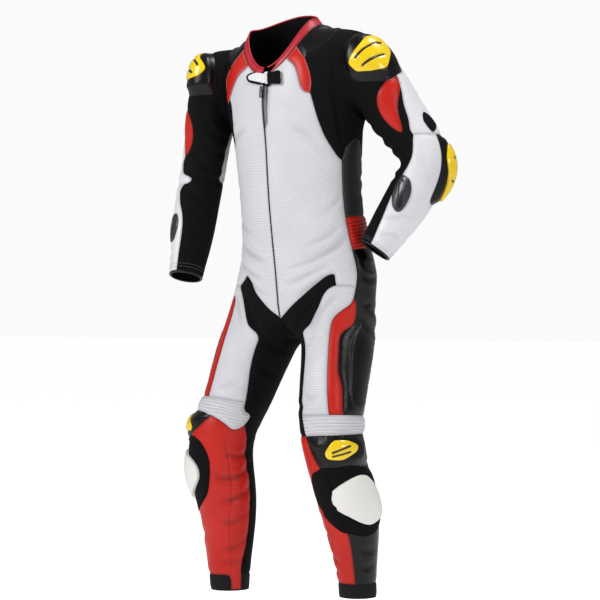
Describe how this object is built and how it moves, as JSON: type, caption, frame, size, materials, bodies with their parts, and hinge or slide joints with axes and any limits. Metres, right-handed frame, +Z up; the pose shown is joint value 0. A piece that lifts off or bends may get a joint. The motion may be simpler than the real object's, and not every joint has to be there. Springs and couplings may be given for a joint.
{
  "type": "motorcycle race suit",
  "caption": "One-piece leather motorcycle race suit, worn and hollow: ribbed stretch panels, shoulder, elbow and knee cups, knee sliders, front zip, one hand at the hip.",
  "frame": {"origin": "the middle of the neck opening, between the tops of the shoulders that carry the suit", "axes": "+Z up, -Y the way the chest faces, +X towards the wearer's left"},
  "size_m": [0.7542, 0.2972, 1.4522],
  "materials": {
    "white_leather": "perforated leather, satin",
    "red_leather": "smooth leather, satin",
    "black_leather": "smooth leather, satin",
    "grey_leather": "perforated leather, matte",
    "stretch_fabric": "woven stretch fabric, matte",
    "yellow_plastic": "moulded, gloss",
    "slider_plastic": "moulded, gloss",
    "black_plastic": "moulded, satin",
    "metal": "cast, satin"
  },
  "bodies": {
    "suit": {"ankle_hem_left": "stretch_fabric", "ankle_hem_right": "stretch_fabric", "back_centre": "white_leather", "chest_side_left": "black_leather", "chest_side_right": "black_leather", "collar": "red_leather", "elbow_cup_left": "black_leather", "elbow_cup_right": "black_leather", "elbow_plate_left": "yellow_plastic", "elbow_plate_right": "yellow_plastic", "forearm_vent_left": "black_plastic", "forearm_vent_right": "black_plastic", "forearm_white_left": "white_leather", "forearm_white_right": "white_leather", "front_left": "white_leather", "front_right": "white_leather", "inner_stretch_left": "stretch_fabric", "inner_stretch_right": "stretch_fabric", "knee_cup_left": "black_leather", "knee_cup_right": "black_leather", "knee_plate_left": "yellow_plastic", "knee_plate_right": "yellow_plastic", "knee_ribs_left": "white_leather", "knee_ribs_right": "white_leather", "knee_slider_left": "slider_plastic", "knee_slider_right": "slider_plastic", "leg_back_left": "white_leather", "leg_back_right": "white_leather", "lumbar_ribs": "red_leather", "shin_outer_left": "black_leather", "shin_outer_right": "black_leather", "shin_red_left": "red_leather", "shin_red_right": "red_leather", "shoulder_cup_left": "black_leather", "shoulder_cup_right": "black_leather", "shoulder_left": "black_leather", "shoulder_plate_left": "yellow_plastic", "shoulder_plate_right": "yellow_plastic", "shoulder_right": "black_leather", "side_panel_left": "grey_leather", "side_panel_right": "grey_leather", "sleeve_red_left": "red_leather", "sleeve_red_right": "red_leather", "sleeve_stretch_left": "stretch_fabric", "sleeve_stretch_right": "stretch_fabric", "sleeve_white_left": "white_leather", "sleeve_white_right": "white_leather", "thigh_front_left": "white_leather", "thigh_front_right": "white_leather", "thigh_outer_left": "black_leather", "thigh_outer_right": "black_leather", "thigh_red_left": "red_leather", "thigh_red_right": "red_leather", "throat_tab": "black_plastic", "yoke_left": "red_leather", "yoke_right": "red_leather", "zip": "black_plastic", "zip_slider": "metal"},
    "pull": {"zip_pull": "black_plastic"}
  },
  "joints": [
    {"name": "zip_pull_swing", "type": "hinge", "parent": "suit", "child": "pull", "pos_m": [0.00116, -0.10542, -0.12194], "axis": [-1, 0, 0], "range_deg": [0, 100]}
  ]
}
